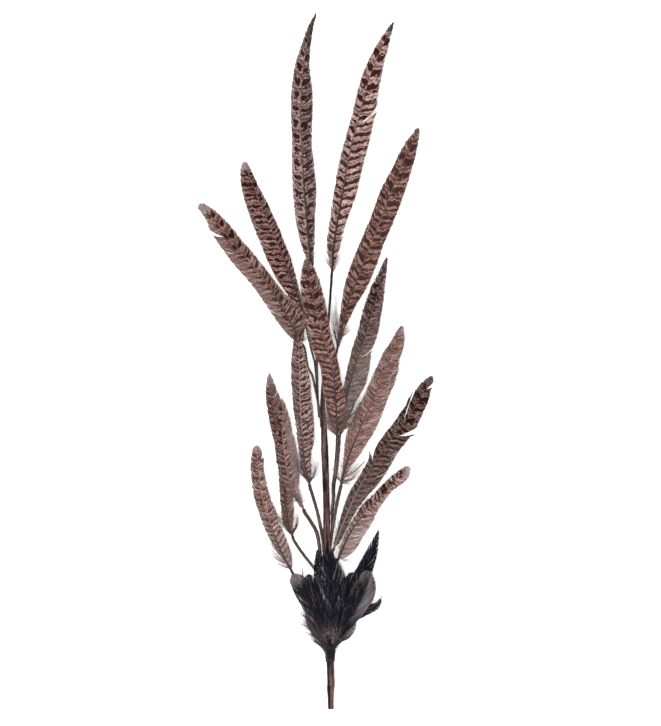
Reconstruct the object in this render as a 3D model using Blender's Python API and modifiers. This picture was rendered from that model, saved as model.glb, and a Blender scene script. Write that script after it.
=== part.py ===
"""A pheasant feather spray: barred tail feathers on wrapped wires, a wrapped stem and a black tuft.

The spray lies flat: +Y runs from the cut end of the stem to the feather tips, and +Z points up from the
surface that it lies on. The design is in millimetres, and the objects are in metres.
"""

import math
from collections import namedtuple

import bmesh
import bpy
import numpy as np
from mathutils import Vector

MM = 0.001
MIDDLE = (-0.124, 0.04)  # middle of the whole spray, in the design's own X and Y

GAP = 0.3  # between pieces that touch
QUILL = 1.2  # radius of a barred feather's quill
TUFT_QUILL = 0.8
VANE = 0.45  # half the thickness of a vane
SHAFT = 1.25  # half the height of the shaft where the vane begins
SHAFT_TIP = 0.6
SHAFT_WIDE = 1.4  # half the width of the shaft
OPENS_BY = 0.07  # share of the spine over which the round quill opens into the vane
DROOPS_BY = 0.15  # share of the spine from which the vane droops fully

WIRE_END = 1.1  # radius of a wrapped branch where it runs out on the stem
FRONT_WIRE_END = 1.6
JOIN = 0.6  # clearance between a branch and the stem that it is wrapped to
LAP = 14.0  # length over which a branch lies along the stem
STRAIGHT = 5.0  # length of a branch in line with its quill
STEM_POINTS = 28
BRANCH_POINTS = 13

STATIONS = (0, 0.03, 0.07, 0.13, 0.2, 0.3, 0.4, 0.5, 0.6, 0.7, 0.8, 0.88, 0.94, 0.98, 1)
TUFT_STATIONS = (0, 0.1, 0.22, 0.36, 0.5, 0.65, 0.8, 0.92, 1)

# The stem's axis from its cut end to the quill of the top right feather: x, y, z and radius
STEM = (
    (16, -349, 2.8, 2.8),
    (15.6, -339, 3.4, 3.0),
    (15.7, -329, 4.2, 3.7),
    (15.9, -319, 5.0, 3.8),
    (15.2, -300, 7.0, 3.75),
    (14.6, -270, 10.2, 3.8),
    (13.5, -239, 13.2, 3.9),
    (12, -205, 15.8, 4.1),
    (11.5, -180, 17, 4.0),
    (11.7, -155, 18, 3.4),
    (10.5, -110, 18.5, 3.5),
    (9.7, -90, 18.5, 3.6),
    (9, -69, 18, 3.0),
    (7.7, -39, 17, 2.4),
    (10.5, 0, 15.5, 1.7),
    (14.3, 50, 13, 1.2),
    (16.6, 84, 11.4, 1.3),
)

Feather = namedtuple("Feather", "spine left right camber")

# A spine runs from the quill to the tip. The half-widths are at each tenth of it, from the first to the tip.
# Camber is the angle at which the vane droops to each side of the shaft.
FEATHERS = {
    "feather_top_left": Feather(
        ((-2.5, 93, 10), (-5.5, 111, 9), (-8, 141, 7.5), (-11.5, 181, 5.5), (-13.5, 221, 3.5),
         (-14.5, 251, 2), (-12, 291, 0.8), (-5, 331, 0.3), (1, 349, 0)),
        (8, 11.5, 11.5, 11, 9.5, 9.5, 10, 8.5, 4.5, 0.8),
        (5.5, 8, 12, 11.5, 10, 12, 11, 5.5, 3, 0.8),
        7,
    ),
    "feather_top_right": Feather(
        ((17, 91, 11), (19.5, 121, 10), (26.5, 161, 8), (35.5, 211, 5), (46, 251, 2.5), (57, 291, 0.8),
         (79, 341, 0)),
        (7, 8, 9, 9, 8, 7.5, 8, 7.5, 5.5, 0.8),
        (6.5, 9, 13.5, 15, 16.5, 15.5, 13, 10.5, 5.5, 0.8),
        6,
    ),
    "feather_upper_right": Feather(
        ((22, 11, 13.5), (25, 25, 13), (33, 58, 11), (42, 81, 9.5), (49.5, 101, 8), (61.5, 131, 6),
         (73, 161, 4), (81, 181, 2.5), (89, 201, 1), (104, 234, 0)),
        (3, 6.5, 10.5, 11, 10.5, 10, 10.5, 8, 6.5, 2),
        (3.5, 8, 12, 13, 12, 13, 13, 11.5, 8.5, 2),
        7,
    ),
    "feather_upper_left": Feather(
        ((-10, 39, 11), (-15, 58, 10.5), (-25, 86, 8.5), (-39, 121, 6), (-48, 141, 4.5), (-56, 161, 3),
         (-64, 181, 1.5), (-70, 200, 0)),
        (5, 9.5, 14, 15.5, 16, 15.5, 14.5, 13.5, 10.5, 5),
        (2, 3.5, 5.5, 7, 7, 7.5, 7, 5.5, 4, 1.5),
        5,
    ),
    "feather_far_left": Feather(
        ((-13, 17, 17), (-19, 27, 17.5), (-26, 41, 17), (-42, 69, 14.5), (-65, 98, 10), (-90, 128, 5),
         (-116, 158, 0)),
        (8.5, 11.5, 13, 13, 12.5, 13.5, 12.5, 11, 6, 4),
        (13, 15.5, 9, 8, 8.5, 8.5, 8, 8.5, 7.5, 3),
        6,
    ),
    "feather_front": Feather(
        ((21.8, -74, 24.6), (22, -64, 25.2), (20.5, -39, 27.5), (18, -14, 28.5), (13, 9, 28.5), (7, 28, 28),
         (1, 51, 27), (-4, 76, 26), (-9, 102, 25)),
        (7.5, 10.5, 12, 11, 14, 13.5, 12, 11.5, 9, 2),
        (7, 10, 7.5, 7.5, 8, 9, 10.5, 10, 8, 2),
        7,
    ),
    "feather_front_right": Feather(
        ((25.4, -73, 23.2), (29, -51, 21.5), (32, -34, 20.5), (39, -9, 19.5), (44, 6, 19), (50, 23, 17.5),
         (55, 41, 16), (61, 61, 14), (66, 81, 12), (72, 104, 9)),
        (3, 5, 6, 7.5, 9, 9, 9.5, 8.5, 4.5, 1),
        (6, 10.5, 15, 14, 10.5, 11, 9, 6.5, 4, 1),
        7,
    ),
    "feather_middle_left": Feather(
        ((-5.5, -123, 22), (-10.5, -99, 23.5), (-13, -69, 24.5), (-15, -34, 25), (-16, 11, 24.5),
         (-17, 26, 24)),
        (4, 4, 5, 5.5, 7, 7.5, 8, 8, 6.5, 3),
        (5.5, 7.5, 11.5, 12.5, 12.5, 11.5, 11, 8, 5, 1.5),
        8,
    ),
    "feather_middle_right": Feather(
        ((26, -124, 22), (28, -115, 21.5), (34, -94, 20), (44, -70, 18), (58, -39, 14), (71, -9, 10.5),
         (77, 9, 8.5), (87, 35, 5)),
        (2.5, 6, 10.5, 11, 10.5, 10, 10, 8.5, 4.5, 2),
        (3.5, 9.5, 12.5, 14.5, 14, 13, 13, 10, 9, 3),
        7,
    ),
    "feather_right": Feather(
        ((19, -187, 17), (29, -160, 15), (42, -131, 12), (61, -99, 8), (80, -73, 5), (100, -47, 2),
         (117, -15, 0)),
        (3, 5.5, 6.5, 5.5, 6.5, 8, 8, 10, 10, 2),
        (5, 7, 10.5, 15, 15.5, 14, 14, 10.5, 8, 2),
        7,
    ),
    "feather_low_left_back": Feather(
        ((-22.5, -175, 12), (-27, -161, 11), (-31, -129, 8.5), (-34, -99, 6), (-40, -59, 3), (-44, -34, 1.5),
         (-46, -13, 0)),
        (5, 5, 4.5, 4, 4.5, 4.5, 6, 6, 5, 1.5),
        (6, 8, 8, 8, 8, 9, 9.5, 9.5, 6.5, 1.5),
        7,
    ),
    "feather_low_left_front": Feather(
        ((-11.5, -148, 18), (-17, -136, 17.5), (-24, -125, 16.5), (-29, -103, 14), (-32, -79, 11.5),
         (-32.5, -59, 9.5), (-33, -38, 7.5)),
        (3, 5, 5.5, 6.5, 6.5, 6, 6, 5, 4, 1),
        (2, 7, 11, 12.5, 13, 12.5, 10, 8, 5, 1),
        6,
    ),
    "feather_bottom_left": Feather(
        ((-24, -209, 10), (-32, -195, 9), (-39, -179, 7.5), (-46, -159, 5.5), (-52.5, -139, 3.5),
         (-55.5, -119, 2), (-59.5, -85, 0)),
        (2, 4, 6, 7.5, 7.5, 8, 8, 8, 6.5, 3),
        (8, 9.5, 9.5, 9.5, 9, 8, 6.5, 5.5, 6, 3),
        6,
    ),
    "feather_bottom_right": Feather(
        ((23, -198, 22.5), (29, -184, 23), (36, -170, 23), (46, -156, 22), (51, -148, 21), (63, -139, 19),
         (79, -121, 15), (94, -106, 11)),
        (2.5, 4, 5, 6, 6, 7.5, 7.5, 6.5, 5, 3),
        (10, 13, 13, 12.5, 11.5, 6.5, 4.5, 5.5, 7.5, 4),
        6,
    ),
}

Branch = namedtuple("Branch", "feather way join_y join_angle radius")

# A branch runs from its feather's quill, through the points of its way, to a place on the stem: its Y, and
# the angle around the stem, where 0 is the right side and 90 the front.
BRANCHES = {
    "branch_top_left": Branch("feather_top_left", ((0.5, 30, 13.5), (2, -7, 16.5)), -52, 165, 1.2),
    "branch_upper_right": Branch("feather_upper_right", ((17.5, -6, 15),), -42, 0, 1.2),
    "branch_upper_left": Branch("feather_upper_left", ((-4, 13, 11.5), (0.5, -7, 12.5)), -56, 205, 1.2),
    "branch_far_left": Branch("feather_far_left", ((-7, -6, 18), (-2, -17, 18.5)), -66, 125, 1.2),
    "branch_middle_left": Branch(
        "feather_middle_left", ((-3, -132, 21.8), (3, -153, 21.8)), -190, 125, 1.7
    ),
    "branch_middle_right": Branch(
        "feather_middle_right", ((22.5, -139, 23.5), (19.5, -155, 23.5)), -195, 55, 1.7
    ),
    "branch_right": Branch("feather_right", (), -218, 20, 1.5),
    "branch_low_left_back": Branch("feather_low_left_back", ((-12, -193, 12.5),), -230, 170, 1.5),
    "branch_low_left_front": Branch(
        "feather_low_left_front", ((-5, -159, 18.8), (2, -172, 19.2)), -204, 155, 1.9
    ),
    "branch_bottom_left": Branch("feather_bottom_left", ((-10, -225, 10.5),), -250, 195, 1.4),
    "branch_bottom_right": Branch("feather_bottom_right", (), -234, 52, 1.4),
}

# The thicker branch that holds both front feathers
FRONT_BRANCH = Branch(None, ((22.7, -89, 23.4), (20.8, -109, 22), (18.5, -125, 20.6)), -152, 12, 2.7)
FRONT_BRANCH_TOP = (23.5, -74.6, 23.9)

BINDING_Y = (-301, -285)
BINDING_INNER = 4.3
BINDING_OUTER = (4.7, 5.6)  # at its lower and its upper end
BINDING_SIDES = 16
TUFT_Y = -284.1  # where the tuft's quills begin
TUFT_OUT = 5.2  # their distance from the stem's axis

TuftFeather = namedtuple("TuftFeather", "angle way widths camber")

# A tuft feather leaves the binding at an angle around the stem. Its half-widths are at each fifth of it.
TUFT = {
    "tuft_centre": TuftFeather(
        93, ((16.8, -259, 21.5), (16, -229, 29.5), (14, -204, 31), (12, -189, 31)), (7, 13, 16.5, 13.5, 4), 14
    ),
    "tuft_left_small": TuftFeather(
        124, ((8, -262, 16.5), (4.5, -235, 21.5), (2.5, -210, 23), (2.5, -188, 24)), (2.5, 3.5, 4, 3.5, 1), 8
    ),
    "tuft_left": TuftFeather(
        160, ((3, -262, 14), (-5, -243, 17.5), (-13, -227, 20.5), (-22, -213, 22)), (4, 7, 8.5, 9, 6), 12
    ),
    "tuft_right_tall": TuftFeather(
        24,
        ((27, -263, 15.5), (36, -240, 20), (45, -217, 22), (54, -198, 22), (63.5, -169, 20)),
        (4, 7.5, 8, 6, 1),
        8,
    ),
    "tuft_right_round": TuftFeather(
        48, ((29.5, -264, 22.5), (42, -242, 31), (50, -224, 33), (52, -208, 32)), (3.5, 8, 11, 11.5, 4), 12
    ),
    "tuft_right_low": TuftFeather(
        -8,
        ((27, -270, 10), (36, -257, 13), (48, -250, 14.5), (61, -245, 14), (66, -238, 13)),
        (3, 5, 5.5, 4.5, 1),
        8,
    ),
    "tuft_right_brown": TuftFeather(
        -38, ((25, -275, 6.5), (33, -267, 7.5), (40, -259, 7)), (5, 8, 8.5, 6.5, 2), 8
    ),
    "tuft_left_brown": TuftFeather(
        200, ((4, -270, 8), (-2, -257, 8), (-9, -243, 7.5)), (5, 8, 8.5, 6, 2), 8
    ),
    "tuft_under_left": TuftFeather(
        240, ((6, -264, 1.8), (-1, -240, 0.8), (-7, -214, 0)), (6, 10, 11, 9, 3), 0
    ),
    "tuft_under_right": TuftFeather(
        300, ((24, -264, 1.8), (31, -240, 0.8), (38, -212, 0)), (6, 10, 11, 9, 3), 0
    ),
}

# Base colour and roughness of each finish
FINISHES = {
    "barred": ((0.16, 0.094, 0.08), 0.75),
    "wrap": ((0.045, 0.027, 0.025), 0.7),
    "black": ((0.012, 0.011, 0.014), 0.45),
    "brown": ((0.075, 0.05, 0.048), 0.85),
}


def material(finish):
    """The finish's material, made once."""
    if finish in bpy.data.materials:
        return bpy.data.materials[finish]
    colour, roughness = FINISHES[finish]
    made = bpy.data.materials.new(finish)
    made.use_nodes = True
    shader = made.node_tree.nodes["Principled BSDF"]
    shader.inputs["Base Color"].default_value = (*colour, 1)
    shader.inputs["Roughness"].default_value = roughness
    return made


def place(name, data, finish, spot, spray):
    """A new object of the spray at a spot of the design, in a finish."""
    data.materials.append(material(finish))
    made = bpy.data.objects.new(name, data)
    made.location = Vector(spot) * MM
    made.parent = spray
    spray.users_collection[0].objects.link(made)
    return made


def unit(vector):
    return vector / np.linalg.norm(vector)


def smooth_line(points, steps=24):
    """Dense points of a smooth curve through the given ones, with any number of values each."""
    given = np.array(points, float)
    held = np.vstack([2 * given[0] - given[1], given, 2 * given[-1] - given[-2]])
    t = np.linspace(0, 1, steps, endpoint=False)[:, None]
    runs = []
    for a, b, c, d in zip(held[:-3], held[1:-2], held[2:-1], held[3:]):
        square = a - 2.5 * b + 2 * c - d / 2
        cube = 1.5 * (b - c) + (d - a) / 2
        runs.append(b + (c - a) * t / 2 + square * t**2 + cube * t**3)
    return np.vstack([*runs, given[-1:]])


def points_at(points, shares):
    """Points at the given shares of a smooth curve's length."""
    line = smooth_line(points)
    reach = np.concatenate([[0], np.cumsum(np.linalg.norm(np.diff(line[:, :3], axis=0), axis=1))])
    reach /= reach[-1]
    return np.stack([np.interp(shares, reach, column) for column in line.T], axis=1)


def width_at(shares, widths, quill):
    """Half-widths of a vane at the given shares of its spine."""
    steps = np.linspace(0, 1, len(widths) + 1)
    line = smooth_line(list(zip(steps, (quill, *widths))))
    return np.interp(shares, line[:, 0], np.maximum(line[:, 1], quill * 0.4))


def section(left, right, share, quill):
    """Ten points around a feather, as distances to the left of the spine and above it."""
    flank_left, flank_right = (min(SHAFT_WIDE * (1 - share / 2), side / 2) for side in (left, right))
    shaft = SHAFT + (SHAFT_TIP - SHAFT) * share
    shaft = min(shaft, max(flank_left, flank_right, VANE * 1.2))
    vane = [(left, VANE), (flank_left, VANE), (0, shaft), (-flank_right, VANE), (-right, VANE)]
    vane += [(across, -above) for across, above in reversed(vane)]
    angles = [math.radians(18 + 36 * k) for k in range(len(vane))]
    ring = [(quill * math.cos(angle), quill * math.sin(angle)) for angle in angles]
    opened = min(1, share / OPENS_BY)
    return [opened * np.array(flat) + (1 - opened) * np.array(round_) for flat, round_ in zip(vane, ring)]


def feather_rings(spine, left, right, camber, quill, shares):
    """Points of every section of a feather, pressed flat where it would pass below the surface."""
    shares = np.array(shares)
    centres = points_at(spine, shares)
    ahead = points_at(spine, np.minimum(shares + 0.01, 1)) - points_at(spine, np.maximum(shares - 0.01, 0))
    widths = zip(width_at(shares, left, quill), width_at(shares, right, quill))
    slope = math.tan(math.radians(camber))
    rings = []
    for centre, way, share, (wide_left, wide_right) in zip(centres, ahead, shares, widths):
        to_left = unit(np.cross((0, 0, 1), way))
        up = np.cross(unit(way), to_left)
        droop = slope * min(1, share / DROOPS_BY)
        ring = []
        for across, above in section(wide_left, wide_right, share, quill):
            middle = centre + to_left * across - up * abs(across) * droop
            middle[2] = max(middle[2], abs(above))
            ring.append(middle + up * above)
        rings.append(ring)
    return rings


def loft(name, rings, finish, spot, spray):
    """One closed solid through rings of equal numbers of points, with its origin at a spot."""
    mesh = bpy.data.meshes.new(name)
    build = bmesh.new()
    loops = [[build.verts.new((point - spot) * MM) for point in ring] for ring in rings]
    for one, two in zip(loops, loops[1:]):
        for k in range(len(one)):
            build.faces.new((one[k - 1], one[k], two[k], two[k - 1]))
    build.faces.new(loops[0])
    build.faces.new(loops[-1])
    bmesh.ops.recalc_face_normals(build, faces=build.faces)
    bmesh.ops.triangulate(build, faces=build.faces)
    build.to_mesh(mesh)
    build.free()
    mesh.shade_smooth()
    mesh.set_sharp_from_angle(angle=math.radians(40))
    return place(name, mesh, finish, spot, spray)


def feather(name, spray):
    """One barred tail feather, with its origin at its quill's end."""
    plan = FEATHERS[name]
    rings = feather_rings(plan.spine, plan.left, plan.right, plan.camber, QUILL, STATIONS)
    return loft(name, rings, "barred", np.array(plan.spine[0], float), spray)


def stem_at(y):
    """The stem's axis point, its radius there, and the directions along it, to its right and to its front."""
    line = smooth_line(STEM)
    centre, before, after = (
        np.array([np.interp(at, line[:, 1], line[:, k]) for k in range(3)]) for at in (y, y - 2, y + 2)
    )
    along = unit(after - before)
    right = unit(np.cross(along, (0, 0, 1)))
    return centre, np.interp(y, line[:, 1], line[:, 3]), along, right, np.cross(right, along)


def beside_stem(y, angle, distance):
    """A point at a distance from the stem's axis, at an angle around it."""
    centre, _, _, right, front = stem_at(y)
    turn = math.radians(angle)
    return centre + distance * (right * math.cos(turn) + front * math.sin(turn))


def tube(name, points, radii, level, spray):
    """A round wrapped piece along a line of points, with a radius at each and its origin at the first."""
    curve = bpy.data.curves.new(name, "CURVE")
    curve.dimensions = "3D"
    curve.bevel_depth = MM
    curve.bevel_resolution = level
    curve.use_fill_caps = True
    spline = curve.splines.new("POLY")
    spline.points.add(len(points) - 1)
    for point, spot, radius in zip(spline.points, points, radii):
        point.co = (*((spot - points[0]) * MM), 1)
        point.radius = radius
    return place(name, curve, "wrap", points[0], spray)


def quill_end(name):
    """Where a feather's quill begins and the way it points, back along the feather."""
    first, second = points_at(FEATHERS[name].spine, (0, 0.01))
    return first, unit(first - second)


def main_stem(spray):
    """The wrapped stem from its cut end to the quill of the top right feather."""
    rows = points_at(STEM, np.linspace(0, 1, STEM_POINTS))
    start, back = quill_end("feather_top_right")
    line = np.vstack([rows[:-1, :3], start + back * GAP])
    return tube("main_stem", line, rows[:, 3], 4, spray)


def branch_line(top, plan):
    """Points of a branch from its top to where it runs out along the stem."""
    stem_radius = max(stem_at(plan.join_y)[1], stem_at(plan.join_y + LAP)[1])
    far = beside_stem(plan.join_y + LAP, plan.join_angle, stem_radius + 2 * JOIN + plan.radius)
    end = beside_stem(plan.join_y, plan.join_angle, stem_radius + JOIN + WIRE_END)
    return points_at([*top, *plan.way, far, end], np.linspace(0, 1, BRANCH_POINTS))


def branch(name, spray):
    """One wrapped wire from a feather's quill to the stem."""
    plan = BRANCHES[name]
    start, back = quill_end(plan.feather)
    line = branch_line((start + back * GAP, start + back * STRAIGHT), plan)
    radii = plan.radius + (WIRE_END - plan.radius) * np.linspace(0, 1, BRANCH_POINTS) ** 6
    return tube(name, line, radii, 2, spray)


def front_branch(spray):
    """The branch of the two front feathers, whose quills stand side by side on its end."""
    line = branch_line((FRONT_BRANCH_TOP,), FRONT_BRANCH)
    radii = np.linspace(FRONT_BRANCH.radius, FRONT_WIRE_END, BRANCH_POINTS)
    return tube("branch_front", line, radii, 2, spray)


def binding(spray):
    """The tapered ring of tape that holds the tuft's quills to the stem: a profile turned about the stem."""
    low, high = (stem_at(y)[0] for y in BINDING_Y)
    half = float(np.linalg.norm(high - low)) / 2
    outer_low, outer_high = BINDING_OUTER
    corners = ((outer_high, half), (outer_low, -half), (BINDING_INNER, -half), (BINDING_INNER, half))
    profile = [(radius * MM, 0, height * MM) for radius, height in corners]
    mesh = bpy.data.meshes.new("tuft_binding")
    mesh.from_pydata(profile, [(0, 1), (1, 2), (2, 3), (3, 0)], [])
    made = place("tuft_binding", mesh, "wrap", (low + high) / 2, spray)
    made.rotation_euler = Vector(high - low).to_track_quat("Z", "Y").to_euler()
    turned = made.modifiers.new("turned", "SCREW")
    turned.steps = BINDING_SIDES
    turned.render_steps = BINDING_SIDES
    turned.use_merge_vertices = True
    turned.merge_threshold = 0.0001
    return made


def tuft_feather(name, spray):
    """One feather of the tuft, from the binding outwards."""
    plan = TUFT[name]
    start = beside_stem(TUFT_Y, plan.angle, TUFT_OUT)
    finish = "brown" if name.endswith("brown") else "black"
    spine = (start, *plan.way)
    rings = feather_rings(spine, plan.widths, plan.widths, plan.camber, TUFT_QUILL, TUFT_STATIONS)
    return loft(name, rings, finish, start, spray)


def main():
    for old in list(bpy.data.objects):
        bpy.data.objects.remove(old)
    collection = bpy.data.collections.new("pheasant_feather_spray")
    bpy.context.scene.collection.children.link(collection)
    spray = bpy.data.objects.new("spray", None)
    spray.location = (-MIDDLE[0] * MM, -MIDDLE[1] * MM, 0)
    collection.objects.link(spray)
    main_stem(spray)
    front_branch(spray)
    for name in BRANCHES:
        branch(name, spray)
    for name in FEATHERS:
        feather(name, spray)
    binding(spray)
    for name in TUFT:
        tuft_feather(name, spray)


main()
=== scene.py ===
"""The looks of a pheasant feather spray that lies flat: barbed feathers, wrapped wires and a tuft.

The tables of places are in millimetres of the spray's own design, and the meshes are in metres.
"""

import math
from collections import namedtuple

import bpy
import numpy as np
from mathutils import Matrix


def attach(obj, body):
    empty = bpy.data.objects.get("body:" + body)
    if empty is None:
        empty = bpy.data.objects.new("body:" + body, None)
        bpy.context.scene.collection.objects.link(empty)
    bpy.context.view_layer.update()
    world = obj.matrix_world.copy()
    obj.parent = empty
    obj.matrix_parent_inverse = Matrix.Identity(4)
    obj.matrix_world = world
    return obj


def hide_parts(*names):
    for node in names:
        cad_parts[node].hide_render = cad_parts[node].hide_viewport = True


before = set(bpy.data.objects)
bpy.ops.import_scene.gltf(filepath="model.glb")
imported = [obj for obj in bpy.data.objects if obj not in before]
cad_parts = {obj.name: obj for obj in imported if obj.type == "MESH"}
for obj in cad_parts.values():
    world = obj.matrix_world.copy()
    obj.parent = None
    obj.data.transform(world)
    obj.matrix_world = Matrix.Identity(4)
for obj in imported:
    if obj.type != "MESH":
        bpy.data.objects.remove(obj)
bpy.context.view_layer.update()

MM = 0.001
MIDDLE = (-0.124, 0.04)  # middle of the whole spray, in the design's own X and Y

QUILL = 1.2  # radius of a barred feather's quill
TUFT_QUILL = 0.8
DROOPS_BY = 0.15  # share of the spine from which the vane droops fully
LOWEST = 0.25  # height above the surface at which a barb is held

WIRE_END = 1.1
FRONT_WIRE_END = 1.6
JOIN = 0.6  # clearance between a branch and the stem that it is wrapped to
LAP = 14.0
TAIL = 18.0  # over so many mm the front branch thins out along the stem
TAIL_END = 0.3
STRAIGHT = 5.0

# The stem's axis from its cut end to the quill of the top right feather: x, y, z and radius
STEM = (
    (16, -349, 2.8, 2.8), (15.6, -339, 3.4, 3.0), (15.7, -329, 4.2, 3.7), (15.9, -319, 5.0, 3.8),
    (15.2, -300, 7.0, 3.75), (14.6, -270, 10.2, 3.8), (13.5, -239, 13.2, 3.9), (12, -205, 15.8, 4.1),
    (11.5, -180, 17, 4.0), (11.7, -155, 18, 3.4), (10.5, -110, 18.5, 3.5), (9.7, -90, 18.5, 3.6),
    (9, -69, 18, 3.0), (7.7, -39, 17, 2.4), (10.5, 0, 15.5, 1.7), (14.3, 50, 13, 1.2),
    (16.6, 84, 11.4, 1.3),
)

Feather = namedtuple("Feather", "spine left right camber")

# A spine runs from the quill to the tip. The half-widths are at each tenth of it, from the first to the tip.
# Camber is the angle at which the vane droops to each side of the shaft.
FEATHERS = {
    "top_left": Feather(
        ((-2.5, 93, 10), (-5.5, 111, 9), (-8, 141, 7.5), (-11.5, 181, 5.5), (-13.5, 221, 3.5),
         (-14.5, 251, 2), (-12, 291, 0.8), (-5, 331, 0.3), (1, 349, 0)),
        (8, 11.5, 11.5, 11, 9.5, 9.5, 10, 8.5, 4.5, 0.8),
        (5.5, 8, 12, 11.5, 10, 12, 11, 5.5, 3, 0.8), 7,
    ),
    "top_right": Feather(
        ((17, 91, 11), (19.5, 121, 10), (26.5, 161, 8), (35.5, 211, 5), (46, 251, 2.5), (57, 291, 0.8),
         (79, 341, 0)),
        (7, 8, 9, 9, 8, 7.5, 8, 7.5, 5.5, 0.8),
        (6.5, 9, 13.5, 15, 16.5, 15.5, 13, 10.5, 5.5, 0.8), 6,
    ),
    "upper_right": Feather(
        ((22, 11, 13.5), (25, 25, 13), (33, 58, 11), (42, 81, 9.5), (49.5, 101, 8), (61.5, 131, 6),
         (73, 161, 4), (81, 181, 2.5), (89, 201, 1), (104, 234, 0)),
        (3, 6.5, 10.5, 11, 10.5, 10, 10.5, 8, 6.5, 2),
        (3.5, 8, 12, 13, 12, 13, 13, 11.5, 8.5, 2), 7,
    ),
    "upper_left": Feather(
        ((-10, 39, 11), (-15, 58, 10.5), (-25, 86, 8.5), (-39, 121, 6), (-48, 141, 4.5), (-56, 161, 3),
         (-64, 181, 1.5), (-70, 200, 0)),
        (5, 9.5, 14, 15.5, 16, 15.5, 14.5, 13.5, 10.5, 5),
        (2, 3.5, 5.5, 7, 7, 7.5, 7, 5.5, 4, 1.5), 5,
    ),
    "far_left": Feather(
        ((-13, 17, 17), (-19, 27, 17.5), (-26, 41, 17), (-42, 69, 14.5), (-65, 98, 10), (-90, 128, 5),
         (-116, 158, 0)),
        (8.5, 11.5, 13, 13, 12.5, 13.5, 12.5, 11, 6, 4),
        (13, 15.5, 9, 8, 8.5, 8.5, 8, 8.5, 7.5, 3), 6,
    ),
    "front": Feather(
        ((21.8, -74, 24.6), (22, -64, 25.2), (20.5, -39, 27.5), (18, -14, 28.5), (13, 9, 28.5), (7, 28, 28),
         (1, 51, 27), (-4, 76, 26), (-9, 102, 25)),
        (7.5, 10.5, 12, 11, 14, 13.5, 12, 11.5, 9, 2),
        (7, 10, 7.5, 7.5, 8, 9, 10.5, 10, 8, 2), 7,
    ),
    "front_right": Feather(
        ((25.4, -73, 23.2), (29, -51, 21.5), (32, -34, 20.5), (39, -9, 19.5), (44, 6, 19), (50, 23, 17.5),
         (55, 41, 16), (61, 61, 14), (66, 81, 12), (72, 104, 9)),
        (3, 5, 6, 7.5, 9, 9, 9.5, 8.5, 4.5, 1),
        (6, 10.5, 15, 14, 10.5, 11, 9, 6.5, 4, 1), 7,
    ),
    "middle_left": Feather(
        ((-5.5, -123, 22), (-10.5, -99, 23.5), (-13, -69, 24.5), (-15, -34, 25), (-16, 11, 24.5),
         (-17, 26, 24)),
        (4, 4, 5, 5.5, 7, 7.5, 8, 8, 6.5, 3),
        (5.5, 7.5, 11.5, 12.5, 12.5, 11.5, 11, 8, 5, 1.5), 8,
    ),
    "middle_right": Feather(
        ((26, -124, 22), (28, -115, 21.5), (34, -94, 20), (44, -70, 18), (58, -39, 14), (71, -9, 10.5),
         (77, 9, 8.5), (87, 35, 5)),
        (2.5, 6, 10.5, 11, 10.5, 10, 10, 8.5, 4.5, 2),
        (3.5, 9.5, 12.5, 14.5, 14, 13, 13, 10, 9, 3), 7,
    ),
    "right": Feather(
        ((19, -187, 17), (29, -160, 15), (42, -131, 12), (61, -99, 8), (80, -73, 5), (100, -47, 2),
         (117, -15, 0)),
        (3, 5.5, 6.5, 5.5, 6.5, 8, 8, 10, 10, 2),
        (5, 7, 10.5, 15, 15.5, 14, 14, 10.5, 8, 2), 7,
    ),
    "low_left_back": Feather(
        ((-22.5, -175, 12), (-27, -161, 11), (-31, -129, 8.5), (-34, -99, 6), (-40, -59, 3), (-44, -34, 1.5),
         (-46, -13, 0)),
        (5, 5, 4.5, 4, 4.5, 4.5, 6, 6, 5, 1.5),
        (6, 8, 8, 8, 8, 9, 9.5, 9.5, 6.5, 1.5), 7,
    ),
    "low_left_front": Feather(
        ((-11.5, -148, 18), (-17, -136, 17.5), (-24, -125, 16.5), (-29, -103, 14), (-32, -79, 11.5),
         (-32.5, -59, 9.5), (-33, -38, 7.5)),
        (3, 5, 5.5, 6.5, 6.5, 6, 6, 5, 4, 1),
        (2, 7, 11, 12.5, 13, 12.5, 10, 8, 5, 1), 6,
    ),
    "bottom_left": Feather(
        ((-24, -209, 10), (-32, -195, 9), (-39, -179, 7.5), (-46, -159, 5.5), (-52.5, -139, 3.5),
         (-55.5, -119, 2), (-59.5, -85, 0)),
        (2, 4, 6, 7.5, 7.5, 8, 8, 8, 6.5, 3),
        (8, 9.5, 9.5, 9.5, 9, 8, 6.5, 5.5, 6, 3), 6,
    ),
    "bottom_right": Feather(
        ((23, -198, 22.5), (29, -184, 23), (36, -170, 23), (46, -156, 22), (51, -148, 21), (63, -139, 19),
         (79, -121, 15), (94, -106, 11)),
        (2.5, 4, 5, 6, 6, 7.5, 7.5, 6.5, 5, 3),
        (10, 13, 13, 12.5, 11.5, 6.5, 4.5, 5.5, 7.5, 4), 6,
    ),
}

Branch = namedtuple("Branch", "way join_y join_angle radius")

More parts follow.
